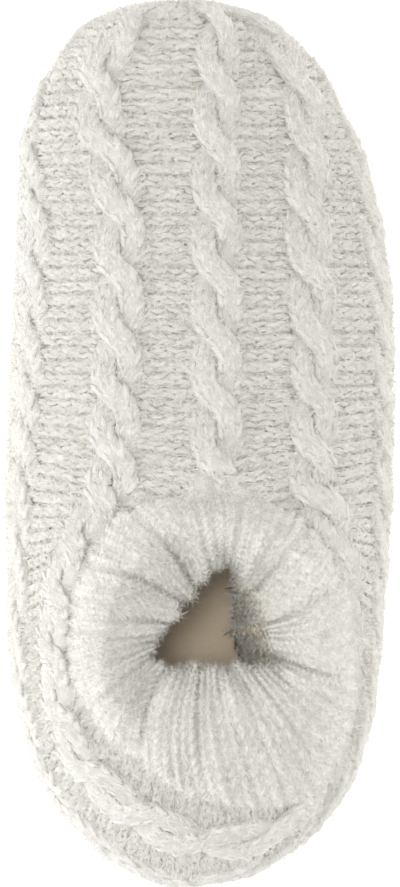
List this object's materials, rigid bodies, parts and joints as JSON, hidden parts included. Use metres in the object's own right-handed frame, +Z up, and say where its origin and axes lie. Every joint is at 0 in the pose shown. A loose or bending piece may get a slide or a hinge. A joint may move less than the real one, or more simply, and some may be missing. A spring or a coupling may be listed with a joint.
{
  "type": "slipper sock",
  "caption": "Cable-knit slipper sock with a gathered rib cuff, a soft flat sole and a padded insole, standing empty.",
  "frame": {"origin": "on the floor under the middle of the part's box", "axes": "+Z up, +Y towards the toe, +X to the wearer's right"},
  "size_m": [0.11, 0.249, 0.076],
  "materials": {
    "knit": "brushed wool-like cable knit with a soft halo",
    "rib": "brushed rib knit with a soft halo",
    "sole_fabric": "felted fabric with small rubber dots",
    "footbed": "smooth fleece"
  },
  "bodies": {
    "root": {"upper": "knit", "cuff": "rib", "sole": "sole_fabric", "insole": "footbed"}
  },
  "joints": []
}
